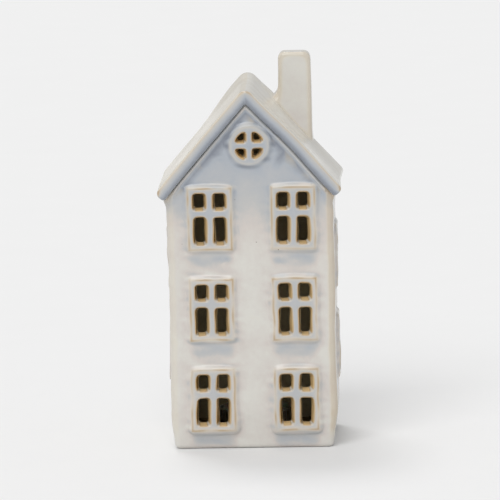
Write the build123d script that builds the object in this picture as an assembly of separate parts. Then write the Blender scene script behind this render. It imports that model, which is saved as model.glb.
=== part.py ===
from build123d import *
import math
import os

# Tealight house: a glazed ceramic house that is set down over a burning tealight.
# Millimetres, +Z up, the front gable faces -Y, and the table is at Z = 0.

# Driving sizes of the walls
WALL_WIDTH = 84.5
WALL_DEPTH = 70.0
WALL_THICKNESS = 5.0
WALL_CORNER_RADIUS = 4.0
INNER_CORNER_RADIUS = 2.0
EAVE_HEIGHT = 129.0
GABLE_RISE = 47.0
RIDGE_SHIFT = -1.5          # the ridge leans a little to the left of the middle
FOOT_INSET = 1.8            # how far the walls draw in at the table
FOOT_TAPER_HEIGHT = 18.0
FOOT_ROUND = 2.6

# The foot that is turned in under the walls, and the opening for the tealight
FOOT_RING_HEIGHT = 4.5
FOOT_RING_WIDTH = 7.0
FOOT_OPENING_CORNER = 9.0

# The coil of clay that is pressed along the seam under the front of the roof
SEAM_COIL_DROP = 1.0
SEAM_COIL_WIDTH = 1.5
SEAM_COIL_RELIEF = 0.8

# Driving sizes of the roof and the chimney
ROOF_RISE = 9.1             # thickness of the roof, measured straight up
RIDGE_ROUND = 4.5
EAVE_ROUND = 2.4
EAVE_OVERHANG = 1.0         # how far the underside runs past the walls, along the slope
VERGE_OVERHANG = 4.0
VERGE_ROUND = 1.3           # tight round along the top of the front edge and the lips of the eaves
VERGE_UNDER_ROUND = 3.2     # broad round that rolls back to the gable
ROOF_BACK_ROUND = 0.8
CHIMNEY_HEIGHT = 36.0       # from the roof under its middle to its top
CHIMNEY_WIDTH = 16.8
CHIMNEY_DEPTH = 12.5
CHIMNEY_SPREAD = 0.7        # how far each side spreads on the way down to the roof
CHIMNEY_CENTRE_X = 22.3
CHIMNEY_BACK_INSET = 1.5
CHIMNEY_WALL = 3.2
CHIMNEY_SHOULDER_ROUND = 3.8
CHIMNEY_EDGE_ROUND = 2.0

# Driving sizes of the windows
WINDOW_WIDTH = 22.7
WINDOW_HEIGHT = 32.0
WINDOW_ARCH_RISE = 0.8
WINDOW_RELIEF = 1.6
WINDOW_SLOPE = 2.0          # how far the raised edge of a window spreads on the wall
WINDOW_CORNER_RADIUS = 2.0
WINDOW_FRAME = 2.9
GLAZING_BAR = 3.4
UPPER_PANE_HEIGHT = 8.7
PANE_SPLAY = 1.0            # how far each side of a pane closes in on its way through the wall
PANE_CORNER_RADIUS = 1.0
PANE_EDGE_ROUND = 0.5
WINDOW_EDGE_ROUND = 0.7
WINDOW_ROOT = 2.5           # how deep a window is set into the clay of the wall
BOTTOM_ROW_CENTRE = 25.4
TOP_ROW_DROP = 11.0         # from the eave down to the middle of the top row
COLUMN_SHIFT = 0.7          # the front windows stand a little to the right of the middle
ROUND_WINDOW_RADIUS = 10.1
ROUND_PANE_RADIUS = 7.4
ROUND_GLAZING_BAR = 2.9
ROUND_WINDOW_SHARE = 0.55   # height of the round window as a share of the gable

# Driving sizes of the tealight
CUP_DIAMETER = 38.0
CUP_HEIGHT = 16.0
CUP_SHEET = 0.3
CUP_DRAFT = 0.5             # the cup is this much narrower in radius at the bottom
CUP_RIM_RADIUS = 0.5
CUP_STAND_WIDTH = 3.0       # the raised middle of the cup's floor leaves a ring to stand on
CUP_FLOOR_LIFT = 0.5
WAX_CLEARANCE = 0.3
WAX_BELOW_RIM = 2.5
WAX_EDGE_ROUND = 0.9
WICK_DIAMETER = 1.5
WICK_ABOVE_WAX = 8.0
SUSTAINER_DIAMETER = 12.5
SUSTAINER_SHEET = 0.3
SUSTAINER_NECK_HEIGHT = 3.5
SUSTAINER_NECK_WALL = 0.4

# Where things are, worked out from the sizes above
HALF_WIDTH = WALL_WIDTH / 2
HALF_LENGTH = (WALL_DEPTH + VERGE_OVERHANG) / 2
WALL_FRONT = VERGE_OVERHANG - HALF_LENGTH
WALL_BACK = HALF_LENGTH
WALL_MIDDLE = (WALL_FRONT + WALL_BACK) / 2
RIDGE_HEIGHT = EAVE_HEIGHT + GABLE_RISE
LEFT_SLOPE = GABLE_RISE / (HALF_WIDTH + RIDGE_SHIFT)
RIGHT_SLOPE = GABLE_RISE / (HALF_WIDTH - RIDGE_SHIFT)
ROW_PITCH = (EAVE_HEIGHT - TOP_ROW_DROP - BOTTOM_ROW_CENTRE) / 2
ROW_CENTRES = [BOTTOM_ROW_CENTRE + row * ROW_PITCH for row in range(3)]
SIDE_ROW_CENTRES = [BOTTOM_ROW_CENTRE + (row + 0.5) * ROW_PITCH for row in range(2)]
COLUMN_CENTRES = [COLUMN_SHIFT - WALL_WIDTH / 4, COLUMN_SHIFT + WALL_WIDTH / 4]
ROUND_WINDOW_CENTRE = EAVE_HEIGHT + ROUND_WINDOW_SHARE * GABLE_RISE
PANE_WIDTH = (WINDOW_WIDTH - 2 * WINDOW_FRAME - GLAZING_BAR) / 2
LOWER_PANE_HEIGHT = WINDOW_HEIGHT - 2 * WINDOW_FRAME - GLAZING_BAR - UPPER_PANE_HEIGHT
CHIMNEY_BACK = HALF_LENGTH - CHIMNEY_BACK_INSET
CHIMNEY_MIDDLE = CHIMNEY_BACK - CHIMNEY_DEPTH / 2
CUP_RADIUS = CUP_DIAMETER / 2 - CUP_RIM_RADIUS
CUP_BASE_RADIUS = CUP_RADIUS - CUP_DRAFT
CUP_FLOOR_TOP = CUP_FLOOR_LIFT + CUP_SHEET
WAX_TOP = CUP_HEIGHT - WAX_BELOW_RIM
SPARE = 5.0                 # how far a cutting shape runs past what it cuts
PANE_SPARE = 1.0            # the same for the holes of the panes


def wall_top(x):
    """Height at which the roof lies on the walls, at a place across the front."""
    if x < RIDGE_SHIFT:
        return RIDGE_HEIGHT - LEFT_SLOPE * (RIDGE_SHIFT - x)
    return RIDGE_HEIGHT - RIGHT_SLOPE * (x - RIDGE_SHIFT)


def gable_points(reach, lift):
    """Left end, ridge and right end of a line that follows the roof, a set height above the wall top."""
    return [(x, wall_top(x) + lift) for x in (-reach, RIDGE_SHIFT, reach)]


def roof_top(x):
    """Height of the roof's upper side at a place across the front."""
    return wall_top(x) + ROOF_RISE


def chimney_top():
    """Height of the chimney's flat top above the table."""
    return roof_top(CHIMNEY_CENTRE_X) + CHIMNEY_HEIGHT


def front_outline(points):
    """A face in the plane of the front view, from points across and up."""
    return make_face(Plane.XZ * Polyline(*points, close=True))


def along_depth(outline, front, back):
    """Extrudes a front-view outline from one depth to another."""
    return extrude(Pos(0, front, 0) * outline, back - front, dir=(0, 1, 0))


def wall_plan(inset, radius):
    """Rounded rectangle of the house seen from above, drawn in from the walls' outside."""
    return RectangleRounded(WALL_WIDTH - 2 * inset, WALL_DEPTH - 2 * inset, radius)


# Windows: each is made at the origin, facing -Y with its back on the wall's face

def window_outline(spread):
    """Outline of a window with a faintly arched top, spread outwards by the slope of its edge."""
    half = WINDOW_WIDTH / 2 + spread
    low = -WINDOW_HEIGHT / 2 - spread
    shoulder = WINDOW_HEIGHT / 2 + spread - WINDOW_ARCH_RISE
    sides = Polyline((-half, shoulder), (-half, low), (half, low), (half, shoulder))
    arch = ThreePointArc((half, shoulder), (0, shoulder + WINDOW_ARCH_RISE), (-half, shoulder))
    outline = make_face(sides + arch)
    return fillet(outline.vertices(), WINDOW_CORNER_RADIUS + spread)


def pane_outlines(inset):
    """The four panes of a window, two short ones above two tall ones, each closed in by an inset."""
    bottom = -WINDOW_HEIGHT / 2 + WINDOW_FRAME
    lower = bottom + LOWER_PANE_HEIGHT / 2
    upper = bottom + LOWER_PANE_HEIGHT + GLAZING_BAR + UPPER_PANE_HEIGHT / 2
    across = (PANE_WIDTH + GLAZING_BAR) / 2
    width = PANE_WIDTH - 2 * inset
    tall = RectangleRounded(width, LOWER_PANE_HEIGHT - 2 * inset, PANE_CORNER_RADIUS)
    short = RectangleRounded(width, UPPER_PANE_HEIGHT - 2 * inset, PANE_CORNER_RADIUS)
    panes = []
    for x in (-across, across):
        panes.append(Pos(x, lower) * tall)
        panes.append(Pos(x, upper) * short)
    return panes


def round_pane_outlines(inset):
    """The four quarter panes of the round window, each closed in by an inset."""
    reach = ROUND_PANE_RADIUS - inset
    gap = ROUND_GLAZING_BAR / 2 + inset
    panes = []
    for right in (-1, 1):
        for up in (-1, 1):
            corner = Pos(right * (gap + reach / 2), up * (gap + reach / 2)) * Rectangle(reach, reach)
            quarter = Circle(reach) & corner
            panes.append(fillet(quarter.vertices(), PANE_CORNER_RADIUS / 2))
    return panes


def raised_window(base, face, cutters):
    """A raised panel with sloping edges and rounded rims around its panes."""
    panel = loft([Plane.XZ * base, Plane.XZ.offset(WINDOW_RELIEF) * face], ruled=True)
    panel += along_depth(Plane.XZ * base, 0, WINDOW_ROOT)
    panel -= cutters
    front = panel.faces().sort_by(Axis.Y)[0]
    panel = fillet(front.outer_wire().edges(), WINDOW_EDGE_ROUND)
    front = panel.faces().sort_by(Axis.Y)[0]
    rims = [edge for wire in front.inner_wires() for edge in wire.edges()]
    return fillet(rims, PANE_EDGE_ROUND)


def pane_cutters(outlines_at):
    """Holes through a window and the wall behind it, which close in on their way through."""
    lean = PANE_SPLAY / (WINDOW_RELIEF + WALL_THICKNESS)
    front = Plane.XZ.offset(WINDOW_RELIEF + PANE_SPARE)
    back = Plane.XZ.offset(-WALL_THICKNESS - PANE_SPARE)
    mouths = outlines_at(-lean * PANE_SPARE)
    throats = outlines_at(PANE_SPLAY + lean * PANE_SPARE)
    return [loft([front * mouth, back * throat], ruled=True) for mouth, throat in zip(mouths, throats)]


def window_places():
    """Places of all the square windows: front, right side and left side."""
    places = [Location((x, WALL_FRONT, z)) for x in COLUMN_CENTRES for z in ROW_CENTRES]
    places += [Location((HALF_WIDTH, WALL_MIDDLE, z), (0, 0, 90)) for z in SIDE_ROW_CENTRES]
    places += [Location((-HALF_WIDTH, WALL_MIDDLE, z), (0, 0, -90)) for z in SIDE_ROW_CENTRES]
    return places


# The ceramic house

def make_wall_block():
    """Solid block of the house below the roof, drawn in at the foot."""
    plan = Pos(0, WALL_MIDDLE) * wall_plan(0, WALL_CORNER_RADIUS)
    foot_plan = Pos(0, WALL_MIDDLE) * wall_plan(FOOT_INSET, WALL_CORNER_RADIUS - FOOT_INSET / 2)
    block = loft([foot_plan, Pos(0, 0, FOOT_TAPER_HEIGHT) * plan])
    block += extrude(Pos(0, 0, FOOT_TAPER_HEIGHT) * plan, RIDGE_HEIGHT - FOOT_TAPER_HEIGHT)
    left, ridge, right = gable_points(WALL_WIDTH, 0)
    under_roof = front_outline([left, ridge, right, (WALL_WIDTH, -SPARE), (-WALL_WIDTH, -SPARE)])
    block &= along_depth(under_roof, WALL_FRONT - SPARE, WALL_BACK + SPARE)
    return fillet(block.faces().sort_by(Axis.Z)[0].edges(), FOOT_ROUND)


def make_seam_coil():
    """Thin raised line on the gable, just under the front of the roof."""
    reach = HALF_WIDTH - WALL_CORNER_RADIUS
    upper = gable_points(reach, -SEAM_COIL_DROP)
    lower = gable_points(reach, -SEAM_COIL_DROP - SEAM_COIL_WIDTH)
    outline = front_outline(upper + lower[::-1])
    return along_depth(outline, WALL_FRONT - SEAM_COIL_RELIEF, WALL_FRONT + WINDOW_ROOT)


def make_walls():
    """Wall tube with both gables, the raised windows and their open panes."""
    cavity = Pos(0, WALL_MIDDLE, -SPARE) * extrude(
        wall_plan(WALL_THICKNESS, INNER_CORNER_RADIUS), RIDGE_HEIGHT + 2 * SPARE)
    walls = make_wall_block() + make_seam_coil() - cavity

    cutters = pane_cutters(pane_outlines)
    window = raised_window(window_outline(WINDOW_SLOPE), window_outline(0), cutters)
    places = window_places()
    walls -= [place * cutter for place in places for cutter in cutters]
    walls += [place * window for place in places]

    place = Location((0, WALL_FRONT, ROUND_WINDOW_CENTRE))
    cutters = pane_cutters(round_pane_outlines)
    window = raised_window(Circle(ROUND_WINDOW_RADIUS + WINDOW_SLOPE), Circle(ROUND_WINDOW_RADIUS), cutters)
    walls -= [place * cutter for cutter in cutters]
    return walls + place * window


def make_foot_ring():
    """Flat ring turned in under the walls, open in the middle for the tealight."""
    outside = wall_plan(WALL_THICKNESS, INNER_CORNER_RADIUS)
    opening = wall_plan(WALL_THICKNESS + FOOT_RING_WIDTH, FOOT_OPENING_CORNER)
    return Pos(0, WALL_MIDDLE) * extrude(outside - opening, FOOT_RING_HEIGHT)


def eave_points(side, slope):
    """Lower lip and upper tip of the roof's end on one side, cut square to its slope."""
    pitch = math.atan(slope)
    thickness = ROOF_RISE * math.cos(pitch)
    lip_across = HALF_WIDTH + EAVE_OVERHANG * math.cos(pitch)
    lip_up = EAVE_HEIGHT - EAVE_OVERHANG * math.sin(pitch)
    tip_across = lip_across + thickness * math.sin(pitch)
    tip_up = lip_up + thickness * math.cos(pitch)
    return [(side * lip_across, lip_up), (side * tip_across, tip_up)]


def roof_outline():
    """Front view of the roof: two slopes, a rounded ridge and square-cut rounded eaves."""
    left = eave_points(-1, LEFT_SLOPE)
    right = eave_points(1, RIGHT_SLOPE)
    ridge = (RIDGE_SHIFT, RIDGE_HEIGHT + ROOF_RISE)
    outline = front_outline(left + [ridge] + right[::-1] + [(RIDGE_SHIFT, RIDGE_HEIGHT)])
    outline = fillet(outline.vertices().sort_by(Axis.Z)[-1], RIDGE_ROUND)
    corners = outline.vertices().sort_by(Axis.X)
    return fillet([corners[0], corners[-1]], EAVE_ROUND)


def make_flue():
    """Upright hollow of the chimney, which lets the air out of it through the roof."""
    plan = Rectangle(CHIMNEY_WIDTH - 2 * CHIMNEY_WALL, CHIMNEY_DEPTH - 2 * CHIMNEY_WALL)
    return Pos(CHIMNEY_CENTRE_X, CHIMNEY_MIDDLE) * extrude(plan, chimney_top() - CHIMNEY_WALL)


def runs_under(edge):
    """Whether an edge of the roof's front runs along the underside, not around the outside."""
    middle = edge @ 0.5
    return abs(middle.X) < HALF_WIDTH and middle.Z < wall_top(middle.X) + 2 * ROOF_RISE / 3


def make_roof():
    """Roof slab, its front edge rolled back to the gable, with a vent hole under the chimney."""
    roof = along_depth(roof_outline(), -HALF_LENGTH, HALF_LENGTH)
    thickness = ROOF_RISE * math.cos(math.atan(max(LEFT_SLOPE, RIGHT_SLOPE)))
    under_round = min(VERGE_UNDER_ROUND, 0.9 * (thickness - EAVE_ROUND), 0.9 * VERGE_OVERHANG)
    front = roof.faces().sort_by(Axis.Y)[0].edges()
    roof = fillet([edge for edge in front if runs_under(edge)], under_round)
    front = roof.faces().sort_by(Axis.Y)[0].edges()
    roof = fillet([edge for edge in front if not runs_under(edge)], VERGE_ROUND)
    roof = fillet(roof.faces().sort_by(Axis.Y)[-1].edges(), ROOF_BACK_ROUND)
    return roof - make_flue()


def make_chimney():
    """Closed hollow chimney on the right slope, its foot cut to the slope of the roof."""
    foot_height = roof_top(CHIMNEY_CENTRE_X + CHIMNEY_WIDTH) - SPARE
    top_half = CHIMNEY_WIDTH / 2
    foot_half = top_half + CHIMNEY_SPREAD
    front = front_outline([
        (CHIMNEY_CENTRE_X - foot_half, foot_height),
        (CHIMNEY_CENTRE_X - top_half, chimney_top()),
        (CHIMNEY_CENTRE_X + top_half, chimney_top()),
        (CHIMNEY_CENTRE_X + foot_half, foot_height),
    ])
    front = fillet(front.vertices().sort_by(Axis.Z)[-2:], CHIMNEY_SHOULDER_ROUND)
    chimney = along_depth(front, CHIMNEY_BACK - CHIMNEY_DEPTH, CHIMNEY_BACK)
    rims = chimney.faces().sort_by(Axis.Y)[0].edges() + chimney.faces().sort_by(Axis.Y)[-1].edges()
    chimney = fillet(rims, CHIMNEY_EDGE_ROUND)
    left, ridge, right = gable_points(WALL_WIDTH, ROOF_RISE)
    below_slope = front_outline([left, ridge, right, (WALL_WIDTH, 0), (-WALL_WIDTH, 0)])
    chimney -= along_depth(below_slope, -HALF_LENGTH - SPARE, HALF_LENGTH + SPARE)
    return chimney - make_flue()


# The tealight that stands inside

def turned(points):
    """Solid of revolution about the upright axis of the tealight, from radius and height pairs."""
    profile = make_face(Plane.XZ * Polyline(*points, close=True))
    return Pos(0, WALL_MIDDLE, 0) * revolve(profile, Axis.Z)


def make_cup():
    """Drawn aluminium cup with a rolled rim and a floor raised in the middle."""
    stand = CUP_BASE_RADIUS - CUP_STAND_WIDTH
    cup = turned([
        (0, CUP_FLOOR_LIFT),
        (stand, CUP_FLOOR_LIFT),
        (stand + CUP_FLOOR_LIFT, 0),
        (CUP_BASE_RADIUS, 0),
        (CUP_RADIUS, CUP_HEIGHT - CUP_RIM_RADIUS),
        (CUP_RADIUS - CUP_SHEET, CUP_HEIGHT - CUP_RIM_RADIUS),
        (CUP_BASE_RADIUS - CUP_SHEET, CUP_SHEET),
        (stand + CUP_FLOOR_LIFT + CUP_SHEET / 2, CUP_SHEET),
        (stand + CUP_SHEET / 2, CUP_FLOOR_TOP),
        (0, CUP_FLOOR_TOP),
    ])
    rim = Pos(0, WALL_MIDDLE, CUP_HEIGHT - CUP_RIM_RADIUS) * Torus(CUP_RADIUS, CUP_RIM_RADIUS)
    return cup + rim


def make_sustainer():
    """Small tinned disc with a neck that is crimped on the wick."""
    bore = WICK_DIAMETER / 2
    neck = bore + SUSTAINER_NECK_WALL
    return turned([
        (bore, CUP_FLOOR_TOP),
        (SUSTAINER_DIAMETER / 2, CUP_FLOOR_TOP),
        (SUSTAINER_DIAMETER / 2, CUP_FLOOR_TOP + SUSTAINER_SHEET),
        (neck, CUP_FLOOR_TOP + SUSTAINER_SHEET),
        (neck, CUP_FLOOR_TOP + SUSTAINER_NECK_HEIGHT),
        (bore, CUP_FLOOR_TOP + SUSTAINER_NECK_HEIGHT),
    ])


def make_wick():
    """Straight cotton wick from the sustainer to above the wax."""
    height = WAX_TOP + WICK_ABOVE_WAX - CUP_FLOOR_TOP
    return Pos(0, WALL_MIDDLE, CUP_FLOOR_TOP) * extrude(Circle(WICK_DIAMETER / 2), height)


def make_wax(wick, sustainer):
    """Pressed wax, a loose fit in the cup, around the wick and its sustainer."""
    radius = CUP_BASE_RADIUS - CUP_SHEET - WAX_CLEARANCE
    height = WAX_TOP - CUP_FLOOR_TOP
    wax = Pos(0, WALL_MIDDLE, CUP_FLOOR_TOP) * extrude(Circle(radius), height)
    wax = fillet(wax.edges().sort_by(Axis.Z)[-1], WAX_EDGE_ROUND)
    return wax - wick - sustainer


os.makedirs("parts", exist_ok=True)
wick = make_wick()
sustainer = make_sustainer()
nodes = {
    "walls": make_walls(),
    "foot_ring": make_foot_ring(),
    "roof": make_roof(),
    "chimney": make_chimney(),
    "tealight_cup": make_cup(),
    "wax": make_wax(wick, sustainer),
    "wick": wick,
    "wick_sustainer": sustainer,
}
for name, node in nodes.items():
    export_step(node, f"parts/{name}.step")
    print(name, len(node.solids()), "solid,", round(node.volume / 1000, 2), "cubic centimetres")
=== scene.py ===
import math
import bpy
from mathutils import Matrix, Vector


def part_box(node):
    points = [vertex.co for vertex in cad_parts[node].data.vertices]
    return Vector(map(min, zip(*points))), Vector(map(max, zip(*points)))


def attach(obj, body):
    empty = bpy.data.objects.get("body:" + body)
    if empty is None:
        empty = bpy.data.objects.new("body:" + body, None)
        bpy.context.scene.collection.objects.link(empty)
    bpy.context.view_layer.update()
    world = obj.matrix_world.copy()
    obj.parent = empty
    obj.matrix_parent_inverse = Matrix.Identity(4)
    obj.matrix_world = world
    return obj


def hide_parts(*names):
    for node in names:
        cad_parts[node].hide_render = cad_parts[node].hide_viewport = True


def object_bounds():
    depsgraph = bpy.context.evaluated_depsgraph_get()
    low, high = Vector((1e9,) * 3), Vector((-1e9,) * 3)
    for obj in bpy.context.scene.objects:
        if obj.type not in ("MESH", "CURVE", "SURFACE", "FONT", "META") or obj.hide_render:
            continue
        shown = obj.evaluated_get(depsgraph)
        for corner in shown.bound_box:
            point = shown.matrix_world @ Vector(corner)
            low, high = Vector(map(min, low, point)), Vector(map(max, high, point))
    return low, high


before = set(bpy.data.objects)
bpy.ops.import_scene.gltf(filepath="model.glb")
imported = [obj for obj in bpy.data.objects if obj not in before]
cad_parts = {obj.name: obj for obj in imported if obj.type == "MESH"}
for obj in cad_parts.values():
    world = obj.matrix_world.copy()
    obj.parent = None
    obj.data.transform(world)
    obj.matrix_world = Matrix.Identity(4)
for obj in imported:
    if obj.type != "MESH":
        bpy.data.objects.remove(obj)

from types import SimpleNamespace

import bmesh
import bpy
import numpy as np
from bpy.props import FloatProperty, FloatVectorProperty, IntProperty, PointerProperty
from mathutils import Matrix, Vector

bl_info = {
    "name": "Tealight House",
    "version": (1, 0, 0),
    "blender": (4, 5, 0),
    "location": "View3D > Sidebar > Tealight House",
    "description": "Dresses the solids of a glazed ceramic tealight house",
    "category": "Object",
}

# Places and sizes in metres, in the frame of the solids

MILLIMETRE = 0.001
MERGE_DISTANCE = 1e-6
CAD_LOW, CAD_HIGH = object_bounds()
WALLS_LOW, WALLS_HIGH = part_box("walls")
ROOF_LOW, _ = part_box("roof")
CHIMNEY_LOW, CHIMNEY_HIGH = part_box("chimney")
CUP_LOW, CUP_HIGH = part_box("tealight_cup")
WAX_LOW, WAX_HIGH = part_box("wax")
WICK_LOW, WICK_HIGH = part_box("wick")

WINDOW_RELIEF = 0.0016
WALL_THICKNESS = 0.005
HALF_WIDTH = (WALLS_HIGH.x - WALLS_LOW.x) / 2 - WINDOW_RELIEF
WALL_FRONT = WALLS_LOW.y + WINDOW_RELIEF
WALL_BACK = WALLS_HIGH.y
RIDGE_X = -0.0015
RIDGE_UNDERSIDE = WALLS_HIGH.z
EAVE_UNDERSIDE = 0.129
RIGHT_SLOPE = (RIDGE_UNDERSIDE - EAVE_UNDERSIDE) / (HALF_WIDTH - RIDGE_X)
ROOF_RISE = 0.0091
TEALIGHT_Y = (CUP_LOW.y + CUP_HIGH.y) / 2
WALL_MIDDLE = TEALIGHT_Y
WINDOW_COLUMNS = (-0.0204, 0.0218)
WINDOW_ROWS = (0.0254, 0.0717, 0.118)
SIDE_WINDOW_ROWS = (0.0486, 0.0949)
WINDOW_HALF_WIDTH = 0.01135
WINDOW_HALF_HEIGHT = 0.016
ROUND_WINDOW_HEIGHT = 0.1549
ROUND_WINDOW_RADIUS = 0.0101
PANE_OFFSET = 0.0051
ROUND_PANE_OFFSET = 0.0042

# Where the maker's hands moved the wet clay, which way, and how far around that place
HAND_PUSHES = (
    ("right front slope bows up", (0.019, -0.034, 0.157), (0.0008, 0.0, 0.0008), 0.012),
    ("left back slope swells by the ridge", (-0.011, 0.036, 0.178), (-0.0014, 0.0, 0.0013), 0.013),
    ("ridge rises to the back", (0.006, 0.034, 0.182), (0.0004, 0.0, 0.0006), 0.010),
    ("roof swells up to the chimney", (0.0125, 0.031, 0.1715), (0.0, 0.0, 0.0018), 0.0055),
    ("left eave sags", (-0.0455, -0.030, 0.1295), (-0.0004, 0.0, -0.0016), 0.0055),
    ("right eave is pressed in", (0.0455, 0.0, 0.133), (-0.0009, 0.0, 0.0), 0.022),
    ("right wall is pressed in", (0.0438, 0.004, 0.072), (-0.0006, 0.0, 0.0), 0.026),
    ("right foot is drawn in", (0.042, -0.010, 0.0), (-0.0022, 0.0, 0.0), 0.011),
    ("left wall is pressed in", (-0.0438, 0.004, 0.072), (0.0012, 0.0, 0.0), 0.026),
)

# Chance: the seed of each uneven field, and the length over which it changes
WAVER_SEED = 11
LONG_WAVER_SEED = 31
LONG_WAVER_TIMES = 4
LONG_WAVER_SHARE = 0.9
LINE_SEED = 71
LINE_LENGTH = 9 * MILLIMETRE
SMEAR_SEED = 83
SMEAR_LENGTH = 3.5 * MILLIMETRE
SMEAR_STRETCH = (0.25, 0.25, 1.0)
SMUDGE_SEED = 97
SMUDGE_LENGTH = 7 * MILLIMETRE
SMUDGE_CHANCE = (0.1, 1.4)

# Triangles that each clay piece keeps
WALLS_TRIANGLES = 196000
ROOF_TRIANGLES = 110000
CHIMNEY_TRIANGLES = 60000
FOOT_TRIANGLES = 40000

# Rounds of smoothing against which an edge stands out, and rounds that blur the border of a reveal
PANE_RIM_ROUNDS = 16
WALL_CORNER_ROUNDS = 120
ROOF_EDGE_ROUNDS = 110
CHIMNEY_EDGE_ROUNDS = 160
REVEAL_ROUNDS = 3

# How far an edge stands out, in millimetres, where its glaze starts to break and where it is broken
PANE_RIM_BULGE = (0.04, 0.16)
WALL_CORNER_BULGE = (0.06, 0.26)
ROOF_EDGE_BULGE = (0.20, 0.70)
CHIMNEY_EDGE_BULGE = (0.10, 0.45)

# Changes around a window, in millimetres outside its outline, less than zero inside it
WINDOW_FACE = (0.1, -0.7)
INNER_FACE = (-0.8, -4.5)
PANE_RIM = (-1.2, -2.0)
PANE_CUT = (-1.2, -2.2)
REVEAL_START = -1.5
LINE_MIDDLE = -0.55
LINE_WIDTH = 0.8
HALO_WIDTH = 4.0
# From CREST_START to CREST_END lies a window's top bevel, whose upward part is painted whiter as a highlight
CREST_START = -0.6
CREST_END = 2.6
SEAM_START = 1.0
CORNER_START = 3.0

# Bands under the roof, in millimetres below its underside
# Along the coil the glaze is painted whiter, as a highlight
COIL_MIDDLE = 1.8
COIL_WIDTH = 1.1
# The band at SEAM_MIDDLE is painted darker, as shade under the roof, and also carries brown smudges
SEAM_MIDDLE = 5.4
SEAM_WIDTH = 2.3

# Where on the walls a change starts and ends, in metres
CORNER_MARGIN = 1 * MILLIMETRE
BARE_DEPTH = (4.2 * MILLIMETRE, 4.8 * MILLIMETRE)
GABLE_CLOUD = (96 * MILLIMETRE, 152 * MILLIMETRE)
GABLE_LINE_START = EAVE_UNDERSIDE + 8 * MILLIMETRE
CORNER_RISE = (2 * MILLIMETRE, 12 * MILLIMETRE)
CORNER_SIDE = (-6 * MILLIMETRE, -3 * MILLIMETRE)
SILL_END = (1.3 * MILLIMETRE, 2.5 * MILLIMETRE)
RUN_DROP = 5 * MILLIMETRE
RUN_LENGTH = 3.5 * MILLIMETRE
RUN_OUTER = 2 * MILLIMETRE
RUN_INNER = 4 * MILLIMETRE
NECK_SPREAD = 1.1 * MILLIMETRE
NECK_HEIGHT = 6 * MILLIMETRE
NECK_REACH = 1.5 * MILLIMETRE
FOOT_HEIGHT = 6 * MILLIMETRE
EAVE_REACH = 8 * MILLIMETRE

# Shares of the wall's thickness, of the roof's rise, and of how far a face looks up or out
SKIN_SHARE = 0.9
REVEAL_FACING = 0.6
SILL_TILT = (0.1, 0.6)
CREST_TILT = (0.25, 0.6)
VERGE_LIFT = (1.0, 0.82)
# VERGE_FOOT spans where the verge's front face turns under and is painted darker, as shade
VERGE_FOOT = (0.75, 0.2)
ROOF_TOP = (0.5, 0.8)

# The roof's front edge and ceiling, and the foot of the chimney, in metres
VERGE_DEPTH = (-5 * MILLIMETRE, -1.5 * MILLIMETRE)
CEILING_DEPTH = 3 * MILLIMETRE
SLOPE_TOLERANCE = 0.01 * MILLIMETRE
CHIMNEY_SINK = 2 * MILLIMETRE
CHIMNEY_FOOT_HEIGHT = 14 * MILLIMETRE
FLARE_HEIGHT = 9 * MILLIMETRE

# How the foot of the chimney spreads, as shares of the flare
FLARE_MOST = 1.2
FLARE_EAVE_SHARE = -0.2
FLARE_FRONT_SHARE = 0.5

# Thickness of the glaze, where 0.3 is cream, 0.5 white, 0.8 blue-grey and 1 slate
WALL_GLAZE = 0.50
FACE_MORE = 0.12
INNER_FACE_MORE = 0.09
HALO_MORE = 0.08
RUN_MORE = 0.20
SMEAR_MORE = 0.06
GABLE_MORE = 0.26
GABLE_FACE_LESS = 0.15
# Painted shade: more glaze, so darker blue-grey to slate, in a band under the roof
SEAM_SHADE_MORE = 0.24
# Painted highlight: less glaze, so whiter, on the upward top bevels of the gable's windows
CREST_HIGHLIGHT_LESS = 0.17
# Painted highlight: less glaze, so whiter, along the coil under the roof
COIL_HIGHLIGHT_LESS = 0.14
REVEAL_GLAZE = 0.46
LEFT_SLOPE_GLAZE = 0.39
RIGHT_SLOPE_GLAZE = 0.46
VERGE_MORE = 0.26
# Painted shade: more glaze, so darker, where the verge's face turns under
VERGE_SHADE_MORE = 0.24
CHIMNEY_GLAZE = 0.49
CHIMNEY_FOOT_MORE = 0.04

# How far the glaze breaks, where 0.1 is cream, 0.3 tan, 0.4 gold and 0.7 honey
LINE_BREAK = 0.32
LEFT_CORNER_BREAK = 0.10
RIGHT_CORNER_BREAK = 0.22
SMUDGE_BREAK = 0.16
RIM_BREAK = 0.36
REVEAL_BREAK = 0.50
REVEAL_LIMITS = (0.03, 0.7)
# Painted shade: reveals that face away from the front lamp break further, to honey
SHADED_REVEAL_MORE = 0.20
# Painted light and highlight: sills that face up break less, to a lighter gold, and their ends to cream
SILL_LIGHT_LESS = 0.05
SILL_END_HIGHLIGHT_LESS = 0.40
ROOF_BREAK = 0.30
CHIMNEY_BREAK = 0.16

# The line around a window: the share kept, what chance adds, the least, and how much less in the gable
LINE_SHARE = 0.8
LINE_CHANCE = 0.3
LINE_LEAST = 0.3
GABLE_LINE_LESS = 0.6

# The paper, the backdrop and the directions that the lamps shine from
WHITE = (1.0, 1.0, 1.0)
BACKDROP_STRENGTH = 0.93
FLOOR_RADIUS = 8.0
FLOOR_SIDES = 96
FRONT_LAMP_FROM = (-0.2, -0.68, 0.7)
BACK_LAMP_FROM = (-0.16, 0.4, 0.88)


def colour(code):
    """Turns an sRGB hex colour into linear red, green and blue."""
    parts = [int(code[place:place + 2], 16) / 255 for place in (1, 3, 5)]
    return tuple(part / 12.92 if part <= 0.04045 else ((part + 0.055) / 1.055) ** 2.4 for part in parts)


def rgba(shade):
    """Adds full opacity to a colour."""
    return (*shade, 1.0)


def colour_setting(name, description, code):
    """A setting that holds a colour, given by an sRGB hex code."""
    return FloatVectorProperty(
        name=name, description=description, default=colour(code), size=3, min=0.0, max=1.0, subtype="COLOR")


# Settings that a user would change

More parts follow.
